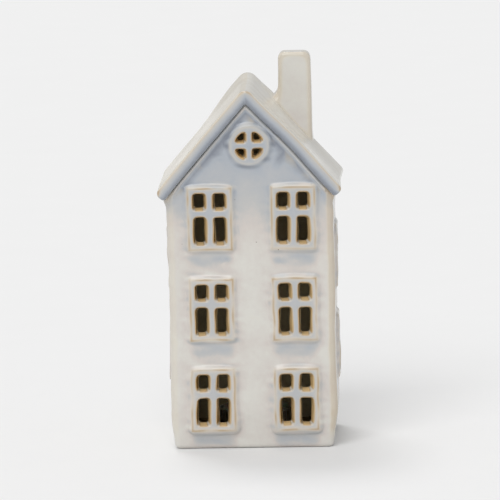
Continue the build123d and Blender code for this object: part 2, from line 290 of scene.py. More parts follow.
class ClaySettings(bpy.types.PropertyGroup):
    """How soft and how uneven the hand-built clay is, and its colours where it has no glaze."""
    cell: FloatProperty(
        name="Cell", description="Size of the cells that the softened clay is rebuilt from",
        default=0.00045, min=0.0002, max=0.002, subtype="DISTANCE", unit="LENGTH", precision=5)
    softening: IntProperty(
        name="Softening", description="Rounds of smoothing that the wet sponge gave the edges",
        default=10, min=0, max=60)
    waver: FloatProperty(
        name="Waver", description="How far the hand-built surfaces stray from true",
        default=0.00016, min=0.0, max=0.002, subtype="DISTANCE", unit="LENGTH", precision=5)
    waver_length: FloatProperty(
        name="Waver length", description="Distance from one swell of the clay to the next",
        default=0.012, min=0.005, max=0.1, subtype="DISTANCE", unit="LENGTH", precision=4)
    askew: FloatProperty(
        name="Askew", description="How far to the left the knife ran on its way through the panes",
        default=0.0005, min=0.0, subtype="DISTANCE", unit="LENGTH", precision=5)
    chimney_flare: FloatProperty(
        name="Chimney flare", description="How far the luted foot of the chimney spreads on the roof",
        default=0.0022, min=0.0, max=0.006, subtype="DISTANCE", unit="LENGTH", precision=4)
    bare_light: colour_setting("Bare clay, light", "Lighter grain of the unglazed stoneware", "#a8977a")
    bare_dark: colour_setting("Bare clay, dark", "Darker grain of the unglazed stoneware", "#7d6a50")
    slip_light: colour_setting("Inside, light", "Lighter grain of the pale slip inside the house", "#d2cab0")
    slip_dark: colour_setting("Inside, dark", "Darker grain of the pale slip inside the house", "#b3a888")


class GlazeSettings(bpy.types.PropertyGroup):
    """Colours that the glaze takes, from where it is thinnest to where it is thickest."""
    burnt: colour_setting("Burnt", "Glaze that has run off a sharp rim", "#5f4320")
    # Honey is also the painted shade in the reveals that face away from the front lamp
    honey: colour_setting("Honey", "Thin glaze in the reveals of the panes", "#a17c42")
    gold: colour_setting("Gold", "Thin glaze on the sills and in the reveals that catch the light", "#e6ca98")
    tan: colour_setting("Tan", "Thin glaze along edges and corners", "#b89f7e")
    # Cream is also the painted highlight at the ends of the sills
    cream: colour_setting("Cream", "Glaze beside an edge", "#d8ccb4")
    white: colour_setting("White", "Glaze on the plain wall", "#d9d7d0")
    rose: colour_setting("Rose", "Blush between the white glaze and the grey", "#d0c9c3")
    grey: colour_setting("Grey", "Glaze that gathers beside a raised window", "#bebebd")
    blue: colour_setting("Blue-grey", "Thick glaze on the windows and the gable", "#abb1b9")
    # Slate is also the painted shade in the band under the roof and where the verge turns under
    slate: colour_setting("Slate", "Glaze pooled in the deepest corners", "#868b95")


class TealightSettings(bpy.types.PropertyGroup):
    """The tealight that stands inside the house."""
    flutes: IntProperty(
        name="Flutes", description="Folds pressed into the side of the cup", default=64, min=12, max=120)
    flute_depth: FloatProperty(
        name="Flute depth", description="Depth of a fold of the cup",
        default=0.00014, min=0.0, max=0.0003, subtype="DISTANCE", unit="LENGTH", precision=5)
    foil: colour_setting("Aluminium", "Bright drawn sheet", "#e2e3e4")
    wax: colour_setting("Paraffin", "White wax", "#efece4")
    cotton: colour_setting("Cotton", "Waxed wick", "#e0d8c4")
    steel: colour_setting("Tin", "Tinned sheet of the wick's foot", "#c9c8c6")


class StageSettings(bpy.types.PropertyGroup):
    """Floor, lamps and camera."""
    distance: FloatProperty(
        name="Distance", description="From the camera to the house",
        default=2.6, min=0.5, max=10.0, subtype="DISTANCE", unit="LENGTH")
    azimuth: FloatProperty(
        name="Azimuth", description="How far the camera stands to the right of the front",
        default=math.radians(1.9), subtype="ANGLE", unit="ROTATION")
    elevation: FloatProperty(
        name="Elevation", description="How far the camera looks down",
        default=math.radians(8.4), subtype="ANGLE", unit="ROTATION")
    roll: FloatProperty(
        name="Roll", description="How far the picture leans to the left",
        default=math.radians(1.2), subtype="ANGLE", unit="ROTATION")
    lens: FloatProperty(
        name="Lens", description="Focal length on a 36 mm sensor, in millimetres", default=367.0, min=50.0)
    aim_across: FloatProperty(
        name="Aim across", description="Where the camera aims, to the right of the middle",
        default=-0.0015, subtype="DISTANCE", unit="LENGTH", precision=4)
    aim_height: FloatProperty(
        name="Aim height", description="How high the camera aims",
        default=0.097, subtype="DISTANCE", unit="LENGTH", precision=4)
    floor: colour_setting("Floor", "White paper under the house", "#ececec")
    sky: FloatProperty(
        name="Sky", description="Strength of the even light from all round", default=0.52, min=0.0)
    front: FloatProperty(
        name="Front lamp", description="Strength of the large soft lamp in front", default=1.35, min=0.0)
    front_spread: FloatProperty(
        name="Front spread", description="How wide the front lamp looks from the house",
        default=math.radians(40), subtype="ANGLE", unit="ROTATION")
    back: FloatProperty(
        name="Back lamp",
        description="Strength of the soft lamp above and behind, which throws the shadow forward",
        default=0.75, min=0.0)
    back_spread: FloatProperty(
        name="Back spread", description="How wide the back lamp looks from the house",
        default=math.radians(22), subtype="ANGLE", unit="ROTATION")


# Materials

def add_node(tree, kind, settings=None):
    """Adds a node and sets its inputs, or else its properties. An output of another node is linked."""
    node = tree.nodes.new(kind)
    for name, value in (settings or {}).items():
        if isinstance(value, bpy.types.NodeSocket):
            tree.links.new(value, node.inputs[name])
        elif isinstance(name, int) or name in node.inputs:
            node.inputs[name].default_value = value
        else:
            setattr(node, name, value)
    return node


def new_material(name):
    """An empty material, its node tree, and the place on the object that its patterns follow."""
    material = bpy.data.materials.new(name)
    material.use_nodes = True
    tree = material.node_tree
    tree.nodes.clear()
    place = add_node(tree, "ShaderNodeTexCoord").outputs["Object"]
    return material, tree, place


def close_material(tree, settings):
    """Ends a material with its main shader and its output."""
    surface = add_node(tree, "ShaderNodeBsdfPrincipled", settings)
    add_node(tree, "ShaderNodeOutputMaterial", {"Surface": surface.outputs[0]})


def per_metre(millimetres):
    """Scale of a pattern whose features have this size."""
    return 1.0 / (millimetres * MILLIMETRE)


def vertex_value(tree, name):
    """Value that the mesh keeps at each vertex under a name."""
    return add_node(tree, "ShaderNodeAttribute", {"attribute_name": name}).outputs["Fac"]


def noise(tree, place, millimetres, detail, roughness=0.5):
    """Cloudy pattern from 0 to 1, with features of this size."""
    settings = {"Scale": per_metre(millimetres), "Detail": detail, "Roughness": roughness, "Vector": place}
    return add_node(tree, "ShaderNodeTexNoise", settings).outputs["Fac"]


def cells(tree, place, millimetres):
    """Distance from scattered points, as a share of how far apart they lie."""
    settings = {"Scale": per_metre(millimetres), "Vector": place}
    return add_node(tree, "ShaderNodeTexVoronoi", settings).outputs["Distance"]


def calculated(tree, operation, *values):
    """Result of a calculation on plain numbers and outputs of other nodes."""
    return add_node(tree, "ShaderNodeMath", {"operation": operation, **dict(enumerate(values))}).outputs[0]


def remapped(tree, value, source, result):
    """Maps a value from a source range to a result range and keeps it in there. Each range is a pair."""
    ranges = {"From Min": source[0], "From Max": source[1], "To Min": result[0], "To Max": result[1]}
    return add_node(tree, "ShaderNodeMapRange", {"Value": value, **ranges}).outputs[0]


def mixed_numbers(tree, share, first, second):
    """Mixes two numbers. The keys are the node's socket numbers."""
    return add_node(tree, "ShaderNodeMix", {0: share, 2: first, 3: second}).outputs[0]


def mixed_colours(tree, share, first, second):
    """Mixes two colours. The keys are the node's socket numbers."""
    return add_node(tree, "ShaderNodeMix", {"data_type": "RGBA", 0: share, 6: first, 7: second}).outputs[2]


def two_toned(tree, share, shade, darkness):
    """Mixes a colour with a darker shade of itself."""
    darker = tuple(darkness * part for part in shade)
    return mixed_colours(tree, share, rgba(darker), rgba(shade))


def colour_ramp(tree, value, stops):
    """Colour at a value, from stops that each have a place and a colour."""
    node = add_node(tree, "ShaderNodeValToRGB", {"Fac": value})
    elements = node.color_ramp.elements
    while len(elements) < len(stops):
        elements.new(1.0)
    for element, (place, shade) in zip(elements, stops):
        element.position = place
        element.color = rgba(shade)
    return node.outputs["Color"]


def bumped(tree, height, strength, millimetres):
    """Normals of a surface with a fine relief of this depth."""
    settings = {"Strength": strength, "Distance": millimetres * MILLIMETRE, "Height": height}
    return add_node(tree, "ShaderNodeBump", settings).outputs[0]


def reactive_glaze(clay, glaze):
    """Reactive rutile glaze, dipped and fired on stoneware.

    Where it runs thin over an edge it breaks to tan and gold. Where it lies thick it clouds to blue-grey.
    Its melted surface is glossy, with a faint orange peel and a few pinholes. Inside the house there is only
    a matt pale slip.
    """
    material, tree, place = new_material("reactive_glaze_on_stoneware")
    # The values read here also carry painted shade, painted light and painted highlights, set together with
    # the glaze
    thickness = vertex_value(tree, "glaze")
    thinned_and_painted_light = vertex_value(tree, "thinned_and_painted_light")
    bare = vertex_value(tree, "bare")
    clouds = noise(tree, place, 13, 4.0, 0.6)
    mottle = noise(tree, place, 2.2, 3.0, 0.6)
    grain = noise(tree, place, 0.9, 5.0, 0.7)

    cloudy = calculated(tree, "MULTIPLY_ADD", clouds, 0.18, -0.09)
    mottled = calculated(tree, "MULTIPLY_ADD", mottle, 0.05, -0.025)
    uneven = calculated(tree, "ADD", cloudy, mottled)
    laid = calculated(tree, "ADD", thickness, uneven)
    pooled = colour_ramp(tree, laid, (
        (0.30, glaze.cream), (0.48, glaze.white), (0.57, glaze.rose),
        (0.66, glaze.grey), (0.82, glaze.blue), (1.00, glaze.slate)))
    break_with_painted_light = calculated(tree, "MULTIPLY_ADD", uneven, 0.4, thinned_and_painted_light)
    broken = colour_ramp(tree, break_with_painted_light, (
        (0.10, glaze.cream), (0.32, glaze.tan), (0.44, glaze.gold),
        (0.70, glaze.honey), (1.00, glaze.burnt)))
    breaking = remapped(tree, thinned_and_painted_light, (0.0, 0.34), (0.0, 1.0))
    melt = mixed_colours(tree, breaking, pooled, broken)

    pinhole = remapped(tree, cells(tree, place, 11), (0.018, 0.034), (0.75, 0.0))
    glazed = mixed_colours(tree, pinhole, melt, rgba(glaze.burnt))
    slip = mixed_colours(tree, grain, rgba(clay.slip_dark), rgba(clay.slip_light))
    gloss = remapped(tree, clouds, (0.3, 0.7), (0.13, 0.24))
    peel = mixed_numbers(tree, bare, mottle, grain)
    close_material(tree, {
        "IOR": 1.5,
        "Base Color": mixed_colours(tree, bare, glazed, slip),
        "Roughness": mixed_numbers(tree, bare, gloss, 0.85),
        "Normal": bumped(tree, peel, 0.05, 0.3)})
    return material


def bare_stoneware(clay):
    """Unglazed stoneware, wiped clean and fired: matt brown clay with visible grog."""
    material, tree, place = new_material("bare_stoneware")
    grain = noise(tree, place, 0.9, 5.0, 0.7)
    grog = remapped(tree, cells(tree, place, 2.5), (0.08, 0.16), (0.5, 0.0))
    fired = mixed_colours(tree, grain, rgba(clay.bare_dark), rgba(clay.bare_light))
    close_material(tree, {
        "IOR": 1.5,
        "Roughness": 0.86,
        "Base Color": mixed_colours(tree, grog, fired, rgba(clay.bare_dark)),
        "Normal": bumped(tree, grain, 0.3, 0.2)})
    return material


def drawn_aluminium(tealight):
    """Thin drawn aluminium: a bright grey mirror, dulled by fine upright draw marks."""
    material, tree, place = new_material("drawn_aluminium")
    upright = add_node(tree, "ShaderNodeMapping", {"Scale": (1.0, 1.0, 0.08), "Vector": place})
    marks = noise(tree, upright.outputs[0], 0.7, 3.0)
    close_material(tree, {
        "Metallic": 1.0,
        "Base Color": two_toned(tree, marks, tealight.foil, 0.78),
        "Roughness": remapped(tree, marks, (0.3, 0.7), (0.22, 0.42)),
        "Normal": bumped(tree, marks, 0.1, 0.1)})
    return material


def paraffin_wax(tealight):
    """Pressed paraffin: milky and a little see-through, with a soft sheen and the bloom of its granules."""
    material, tree, place = new_material("paraffin_wax")
    granules = cells(tree, place, 1.6)
    bloom = noise(tree, place, 5, 3.0)
    close_material(tree, {
        "IOR": 1.43,
        "Subsurface Weight": 0.5,
        "Subsurface Scale": 3 * MILLIMETRE,
        "Base Color": two_toned(tree, bloom, tealight.wax, 0.86),
        "Roughness": remapped(tree, bloom, (0.3, 0.7), (0.38, 0.55)),
        "Normal": bumped(tree, granules, 0.08, 0.2)})
    return material


def waxed_cotton(tealight):
    """Twisted cotton dipped in wax: off-white yarn, slightly sheeny, with darker fibres in it."""
    material, tree, place = new_material("waxed_cotton")
    fibres = noise(tree, place, 0.25, 4.0)
    close_material(tree, {
        "IOR": 1.45,
        "Roughness": 0.6,
        "Base Color": two_toned(tree, fibres, tealight.cotton, 0.6),
        "Normal": bumped(tree, fibres, 0.4, 0.1)})
    return material


def tinned_steel(tealight):
    """Stamped tinned sheet: a soft grey metal with a spangled, half-dull face."""
    material, tree, place = new_material("tinned_steel")
    spangle = cells(tree, place, 1.2)
    close_material(tree, {
        "Metallic": 1.0,
        "Base Color": two_toned(tree, spangle, tealight.steel, 0.75),
        "Roughness": remapped(tree, spangle, (0.0, 0.8), (0.3, 0.5))})
    return material


def studio_paper(stage):
    """Matt white paper, faintly fibrous, a touch brighter to the camera."""
    material, tree, place = new_material("studio_paper")
    fibres = noise(tree, place, 40, 2.0)
    path = add_node(tree, "ShaderNodeLightPath")
    close_material(tree, {
        "Roughness": 1.0,
        "Specular IOR Level": 0.0,
        "Base Color": two_toned(tree, fibres, stage.floor, 0.985),
        "Emission Color": rgba(WHITE),
        "Emission Strength": calculated(tree, "MULTIPLY", path.outputs["Is Camera Ray"], 0.01)})
    return material


# Mesh helpers

def new_piece(name, shape, material):
    """An object at the origin from a bmesh, smoothly shaded."""
    mesh = bpy.data.meshes.new(name)
    shape.to_mesh(mesh)
    shape.free()
    mesh.shade_smooth()
    piece = bpy.data.objects.new(name, mesh)
    bpy.context.scene.collection.objects.link(piece)
    piece.data.materials.append(material)
    return piece


def shaped_by(piece, kind, settings):
    """The mesh that a piece has after one more modifier, which is then taken off again."""
    modifier = piece.modifiers.new(kind.lower(), kind)
    for name, value in settings.items():
        setattr(modifier, name, value)
    graph = bpy.context.evaluated_depsgraph_get()
    mesh = bpy.data.meshes.new_from_object(piece.evaluated_get(graph))
    piece.modifiers.remove(modifier)
    return mesh


def take_mesh(piece, mesh):
    """Gives a piece a new mesh under the piece's own name."""
    old = piece.data
    name = old.name
    piece.data = mesh
    bpy.data.meshes.remove(old)
    mesh.name = name


def places_of(mesh):
    """Places of a mesh's vertices, one row each."""
    flat = np.empty(3 * len(mesh.vertices), np.float32)
    mesh.vertices.foreach_get("co", flat)
    return flat.reshape(-1, 3).astype(float)


def normals_of(mesh):
    """Normals of a mesh's vertices, one row each."""
    flat = np.empty(3 * len(mesh.vertices), np.float32)
    mesh.vertex_normals.foreach_get("vector", flat)
    return flat.reshape(-1, 3).astype(float)


def set_places(mesh, places):
    """Moves a mesh's vertices."""
    mesh.vertices.foreach_set("co", places.astype(np.float32).ravel())
    mesh.update()


def relaxed(piece, rounds):
    """Places of a piece's vertices after some rounds of smoothing."""
    mesh = shaped_by(piece, "SMOOTH", {"factor": 0.5, "iterations": rounds})
    places = places_of(mesh)
    bpy.data.meshes.remove(mesh)
    return places


def spread(piece, values, rounds):
    """Spreads a value of each vertex over its neighbours, as if it were a place."""
    stand_in = bpy.data.objects.new("spread", piece.data.copy())
    bpy.context.scene.collection.objects.link(stand_in)
    columns = np.zeros((len(values), 3))
    columns[:, 0] = values
    set_places(stand_in.data, columns)
    blurred = relaxed(stand_in, rounds)
    mesh = stand_in.data
    bpy.data.objects.remove(stand_in)
    bpy.data.meshes.remove(mesh)
    return blurred[:, 0]


def set_values(mesh, name, values):
    """Keeps a value at each vertex under a name that a material can read."""
    layer = mesh.attributes.new(name, "FLOAT", "POINT")
    layer.data.foreach_set("value", values.astype(np.float32))


def ease(low, high, values):
    """Smooth step from 0 at low to 1 at high."""
    share = np.clip((values - low) / (high - low), 0.0, 1.0)
    return share * share * (3.0 - 2.0 * share)


def band(values, middle, width):
    """Soft band: 1 at its middle, falling away on both sides over its width."""
    return np.exp(-((values - middle) / width) ** 2)


def swell(places, length, seed):
    """Smooth uneven field, mostly between -1 and 1, that changes over a length."""
    numbers = np.random.default_rng(seed)
    waves = 14
    field = np.zeros(len(places))
    for _ in range(waves):
        direction = numbers.normal(size=3)
        direction /= np.linalg.norm(direction)
        field += np.sin(places @ direction * (2 * math.pi / length) + numbers.uniform(0, 2 * math.pi))
    return field / math.sqrt(waves)


def hand_built(places, clay):
    """Moves places a little, as clay strays from true. The foot stays flat on the table."""
    up = places[:, 2]
    long_waver = LONG_WAVER_TIMES * clay.waver_length
    moved = places.copy()
    grounded = ease(0.0, FOOT_HEIGHT, up)
    on_walls = 1.0 - ease(EAVE_UNDERSIDE - EAVE_REACH, EAVE_UNDERSIDE, up)
    for axis in range(3):
        stray = on_walls * swell(places, clay.waver_length, WAVER_SEED + axis)
        stray += LONG_WAVER_SHARE * swell(places, long_waver, LONG_WAVER_SEED + axis)
        moved[:, axis] += clay.waver * stray * (grounded if axis == 2 else 1.0)
    for _, middle, push, reach in HAND_PUSHES:
        near = np.exp(-np.sum((places - np.array(middle)) ** 2, axis=1) / (2 * reach ** 2))
        moved += near[:, None] * np.array(push)
    return np.clip(moved, CAD_LOW, CAD_HIGH)


def under_roof(across):
    """Height of the roof's underside at a place across the front."""
    half = np.where(across < RIDGE_X, HALF_WIDTH + RIDGE_X, HALF_WIDTH - RIDGE_X)
    return RIDGE_UNDERSIDE - (RIDGE_UNDERSIDE - EAVE_UNDERSIDE) * np.abs(across - RIDGE_X) / half


# The ceramic house

def clay_copy(node):
    """A merged copy of a solid's mesh."""
    shape = bmesh.new()
    shape.from_mesh(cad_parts[node].data)
    bmesh.ops.remove_doubles(shape, verts=shape.verts, dist=MERGE_DISTANCE)
    return shape


def soften(piece, clay, rounds):
    """Rebuilds a piece in small cells on its true faces and sponges its edges.

    Gives the places and the normals of its vertices.
    """
    solid = bpy.data.objects.new("solid", piece.data.copy())
    bpy.context.scene.collection.objects.link(solid)
    take_mesh(piece, shaped_by(piece, "REMESH", {
        "mode": "VOXEL", "voxel_size": clay.cell, "use_smooth_shade": True}))
    take_mesh(piece, shaped_by(piece, "SHRINKWRAP", {"target": solid, "wrap_method": "NEAREST_SURFACEPOINT"}))
    shape = solid.data
    bpy.data.objects.remove(solid)
    bpy.data.meshes.remove(shape)
    set_places(piece.data, relaxed(piece, rounds))
    return places_of(piece.data), normals_of(piece.data)


def bulge_of(piece, places, normals, rounds):
    """How far each place stands out from its smoothed surroundings, in millimetres."""
    return np.sum((places - relaxed(piece, rounds)) * normals, axis=1) / MILLIMETRE


def finish_clay(piece, clay, places, glaze, thinned_and_painted_light, bare, triangles):
    """Keeps the glaze of a softened piece, lets it stray from true and thins its mesh where it is plain."""
    set_values(piece.data, "glaze", np.clip(glaze, 0.0, 1.0))
    set_values(piece.data, "thinned_and_painted_light", np.clip(thinned_and_painted_light, 0.0, 1.0))
    set_values(piece.data, "bare", bare)
    set_places(piece.data, hand_built(places, clay))
    count = 2 * len(piece.data.polygons)
    if count > triangles:
        take_mesh(piece, shaped_by(piece, "DECIMATE", {"ratio": triangles / count}))
    piece.data.shade_smooth()


def beyond_box(across, up, middle, height):
    """Distance outside a window's outline, less than zero inside it."""
    sideways = np.abs(across - middle) - WINDOW_HALF_WIDTH
    upward = np.abs(up - height) - WINDOW_HALF_HEIGHT
    outside = np.hypot(np.maximum(sideways, 0.0), np.maximum(upward, 0.0))
    return outside + np.minimum(np.maximum(sideways, upward), 0.0)


def beyond_windows(places, on_front, on_side):
    """Millimetres outside the nearest window on the same wall, and the share of glaze run from a sill."""
    across, along, up = places.T
    front = np.hypot(across, up - ROUND_WINDOW_HEIGHT) - ROUND_WINDOW_RADIUS
    side = np.full(len(places), 1.0)
    below = np.zeros(len(places))
    for height in WINDOW_ROWS:
        for middle in WINDOW_COLUMNS:
            front = np.minimum(front, beyond_box(across, up, middle, height))
            below = np.maximum(below, pooled_below(across - middle, height - up) * on_front)
    for height in SIDE_WINDOW_ROWS:
        side = np.minimum(side, beyond_box(along, up, WALL_MIDDLE, height))
        below = np.maximum(below, pooled_below(along - WALL_MIDDLE, height - up) * on_side)
    distance = np.where(on_front, front, np.where(on_side, side, 1.0))
    return distance / MILLIMETRE, below


def pooled_below(sideways, drop):
    """Share of glaze that has run from a window's sill on the wall under it."""
    under = drop - WINDOW_HALF_HEIGHT - RUN_DROP
    width = ease(WINDOW_HALF_WIDTH + RUN_OUTER, WINDOW_HALF_WIDTH - RUN_INNER, np.abs(sideways))
    return width * band(under, 0.0, RUN_LENGTH)


def wall_spots(piece, places, normals):
    """What the glaze of the walls depends on at each place."""
    spot = SimpleNamespace(normals=normals, looks_up=normals[:, 2])
    spot.across, spot.along, spot.up = places.T.copy()
    spot.rim = bulge_of(piece, places, normals, PANE_RIM_ROUNDS)
    spot.broad = bulge_of(piece, places, normals, WALL_CORNER_ROUNDS)
    spot.in_front = WALL_FRONT - spot.along
    spot.beside = np.abs(spot.across) - HALF_WIDTH
    skin = -SKIN_SHARE * WALL_THICKNESS
    spot.on_front = (spot.in_front > skin) & (spot.beside < -CORNER_MARGIN)
    spot.on_side = (spot.beside > skin) & ~spot.on_front
    spot.distance, spot.below = beyond_windows(places, spot.on_front, spot.on_side)
    spot.drop = (under_roof(spot.across) - spot.up) / MILLIMETRE
    spot.face = ease(*WINDOW_FACE, spot.distance)
    spot.gable = ease(*GABLE_CLOUD, spot.up)
    # Band under the roof: painted shade, and brown smudges
    spot.seam = band(spot.drop, SEAM_MIDDLE, SEAM_WIDTH) * (spot.distance > SEAM_START)
    spot.reveal = pane_reveals(piece, spot)
    return spot


def pane_reveals(piece, spot):
    """Share of each place that lies in the reveal of a pane, a little blurred."""
    faced = np.where(spot.on_front, np.abs(spot.normals[:, 1]), np.abs(spot.normals[:, 0]))
    in_pane = (spot.on_front | spot.on_side) & (spot.distance < REVEAL_START)
    return spread(piece, (in_pane & (faced < REVEAL_FACING)).astype(float), REVEAL_ROUNDS)


def wall_glaze_and_painted_light(places, spot):
    """Thickness of the glaze on the walls, with painted highlights on the windows' top bevels and along the
    coil, and painted shade in a band under the roof.
    """
    inner_face = ease(*INNER_FACE, spot.distance)
    halo = band(np.maximum(spot.distance, 0.0), 0.0, HALO_WIDTH) * (1.0 - spot.face)
    smear = swell(places * np.array(SMEAR_STRETCH), SMEAR_LENGTH, SMEAR_SEED)
    # Painted highlight on the top bevels that face up
    on_crest = (spot.distance > CREST_START) & (spot.distance < CREST_END)
    painted_crest_highlight = ease(*CREST_TILT, spot.looks_up) * on_crest
    # Painted highlight along the coil under the roof
    painted_coil_highlight = band(spot.drop, COIL_MIDDLE, COIL_WIDTH) * spot.on_front
    glaze = WALL_GLAZE + spot.face * (FACE_MORE + INNER_FACE_MORE * inner_face)
    glaze += HALO_MORE * halo + RUN_MORE * spot.below * (1.0 - spot.face)
    glaze += SMEAR_MORE * smear * np.maximum(halo, spot.below)
    # Painted shade in a band under the roof's edge
    glaze += spot.gable * (GABLE_MORE - GABLE_FACE_LESS * spot.face + SEAM_SHADE_MORE * spot.seam)
    # Painted highlights: the upward top bevels and the coil are made whiter
    glaze -= spot.gable * (CREST_HIGHLIGHT_LESS * painted_crest_highlight + COIL_HIGHLIGHT_LESS * painted_coil_highlight)
    return glaze + (REVEAL_GLAZE - glaze) * spot.reveal


def reveal_break_and_painted_light(spot):
    """How far the glaze breaks inside a pane.

    Its left reveal faces away from the front lamp and is painted honey, as shade. Its right reveal is gold,
    its sill is painted a lighter gold where light falls on it, and the ends of the sill are painted cream, as
    highlights.
    """
    inward = np.where(spot.on_front, spot.normals[:, 0], spot.normals[:, 1] * np.sign(spot.across))
    pane_middles = [column + side * PANE_OFFSET for column in WINDOW_COLUMNS for side in (-1, 1)]
    pane_middles += [-ROUND_PANE_OFFSET, ROUND_PANE_OFFSET]
    off_middle = np.min([np.abs(spot.across - middle) for middle in pane_middles], axis=0)
    sill = ease(*SILL_TILT, spot.looks_up)
    sill_end_highlight = sill * ease(*SILL_END, off_middle) * spot.on_front
    # Painted shade on reveals that face away from the front lamp, painted light on the sills and painted
    # highlights at their ends
    broken = REVEAL_BREAK + SHADED_REVEAL_MORE * np.maximum(inward, 0.0)
    broken -= SILL_LIGHT_LESS * sill + SILL_END_HIGHLIGHT_LESS * sill_end_highlight
    return np.clip(broken, *REVEAL_LIMITS)


def wall_break_and_painted_light(places, spot):
    """How far the glaze of the walls breaks on lines, corners, rims and reveals, with painted shade and
    painted light in the reveals.
    """
    uneven = swell(places, LINE_LENGTH, LINE_SEED)
    line = band(spot.distance, LINE_MIDDLE, LINE_WIDTH)
    line *= np.clip(LINE_SHARE + LINE_CHANCE * uneven, LINE_LEAST, 1.0)
    line *= 1.0 - GABLE_LINE_LESS * (spot.up > GABLE_LINE_START)
    corner = ease(*WALL_CORNER_BULGE, spot.broad) * (spot.distance > CORNER_START)
    corner *= ease(*CORNER_RISE, spot.up) * ease(*CORNER_SIDE, spot.beside)
    corner *= np.where(spot.across > 0.0, RIGHT_CORNER_BREAK, LEFT_CORNER_BREAK)
    smudge = spot.seam * spot.gable * ease(*SMUDGE_CHANCE, swell(places, SMUDGE_LENGTH, SMUDGE_SEED))
    rim = ease(*PANE_RIM_BULGE, spot.rim) * ease(*PANE_RIM, spot.distance)
    thinned_and_painted_light = np.maximum(LINE_BREAK * line, corner) + SMUDGE_BREAK * smudge
    thinned_and_painted_light = np.maximum(thinned_and_painted_light, RIM_BREAK * rim)
    return thinned_and_painted_light + (reveal_break_and_painted_light(spot) - thinned_and_painted_light) * spot.reveal


def shape_walls(places, spot, clay):
    """Runs the panes askew and spreads the tops of the side walls under the eaves."""
    through = ease(*PANE_CUT, spot.distance) * ease(-WINDOW_RELIEF, WALL_THICKNESS, -spot.in_front)
    neck = NECK_SPREAD * (1.0 - ease(0.0, NECK_HEIGHT, EAVE_UNDERSIDE - spot.up)) ** 2
    places[:, 0] -= clay.askew * through * spot.on_front
    places[:, 0] += np.sign(spot.across) * neck * (spot.beside > -NECK_REACH)


def glazed_walls(clay, material):
    """Walls, gables and raised windows, glazed outside and bare inside."""
    piece = new_piece("glazed_walls", clay_copy("walls"), material)
    places, normals = soften(piece, clay, clay.softening)
    spot = wall_spots(piece, places, normals)
    depth = np.minimum(np.minimum(-spot.in_front, WALL_BACK - spot.along), -spot.beside)
    bare = ease(*BARE_DEPTH, depth)
    glaze = wall_glaze_and_painted_light(places, spot)
    thinned_and_painted_light = wall_break_and_painted_light(places, spot)
    shape_walls(places, spot, clay)
    finish_clay(piece, clay, places, glaze, thinned_and_painted_light, bare, WALLS_TRIANGLES)
    return piece


def glazed_roof(clay, material):
    """Roof slab, glazed outside, bare where it closes the house. Its front edge is painted darker where it
    turns under, as shade.
    """
    piece = new_piece("glazed_roof", clay_copy("roof"), material)
    places, normals = soften(piece, clay, 2 * clay.softening)
    bulge = bulge_of(piece, places, normals, ROOF_EDGE_ROUNDS)
    across, along, up = places.T
    over_room = (np.abs(across) < HALF_WIDTH - CORNER_MARGIN) & (along > WALL_FRONT + CORNER_MARGIN)
    bare = (over_room & (up < under_roof(across) + CEILING_DEPTH)).astype(float)
    lift = (up - under_roof(across)) / ROOF_RISE
    verge = ease(*VERGE_DEPTH, ROOF_LOW.y - along) * ease(*VERGE_LIFT, lift)
    glaze = np.where(across < RIDGE_X, LEFT_SLOPE_GLAZE, RIGHT_SLOPE_GLAZE)
    # Painted shade on the lower part of the verge's face
    glaze += verge * (VERGE_MORE + VERGE_SHADE_MORE * ease(*VERGE_FOOT, lift))
    thinned_and_painted_light = ROOF_BREAK * ease(*ROOF_EDGE_BULGE, bulge) * ease(*ROOF_TOP, lift)
    finish_clay(piece, clay, places, glaze, thinned_and_painted_light, bare, ROOF_TRIANGLES)
    return piece


def roof_top(across):
    """Height of the right slope's upper face at a place across the front."""
    return RIDGE_UNDERSIDE + ROOF_RISE - RIGHT_SLOPE * (across - RIDGE_X)


def glazed_chimney(clay, material):
    """Closed chimney, its foot sunk a little in the right slope and spread where it is luted."""
    shape = clay_copy("chimney")
    for vertex in shape.verts:
        if vertex.co.z < roof_top(vertex.co.x) + SLOPE_TOLERANCE:
            vertex.co.z -= CHIMNEY_SINK
    piece = new_piece("glazed_chimney", shape, material)
    places, normals = soften(piece, clay, clay.softening)
    bulge = bulge_of(piece, places, normals, CHIMNEY_EDGE_ROUNDS)
    above = places[:, 2] - roof_top(places[:, 0])
    middle = (CHIMNEY_LOW + CHIMNEY_HIGH) / 2
    half = (CHIMNEY_HIGH - CHIMNEY_LOW) / 2
    flare = clay.chimney_flare * np.clip(1.0 - above / FLARE_HEIGHT, 0.0, FLARE_MOST) ** 2
    step = flare * np.clip((middle.x - places[:, 0]) / half.x, FLARE_EAVE_SHARE, 1.0)
    forward = FLARE_FRONT_SHARE * flare * np.clip((middle.y - places[:, 1]) / half.y, 0.0, 1.0)
    places += np.stack((-step, -forward, RIGHT_SLOPE * step), axis=1)
    glaze = CHIMNEY_GLAZE + CHIMNEY_FOOT_MORE * (1.0 - ease(0.0, CHIMNEY_FOOT_HEIGHT, above))
    thinned_and_painted_light = CHIMNEY_BREAK * ease(*CHIMNEY_EDGE_BULGE, bulge)
    finish_clay(piece, clay, places, glaze, thinned_and_painted_light, np.zeros(len(places)), CHIMNEY_TRIANGLES)
    return piece


def foot_ring(clay, material):
    """Unglazed ring turned in under the walls."""
    piece = new_piece("bare_foot_ring", clay_copy("foot_ring"), material)
    places, _ = soften(piece, clay, clay.softening)
    nothing = np.zeros(len(places))
    finish_clay(piece, clay, places, nothing, nothing, nothing + 1.0, FOOT_TRIANGLES)
    return piece


# The tealight

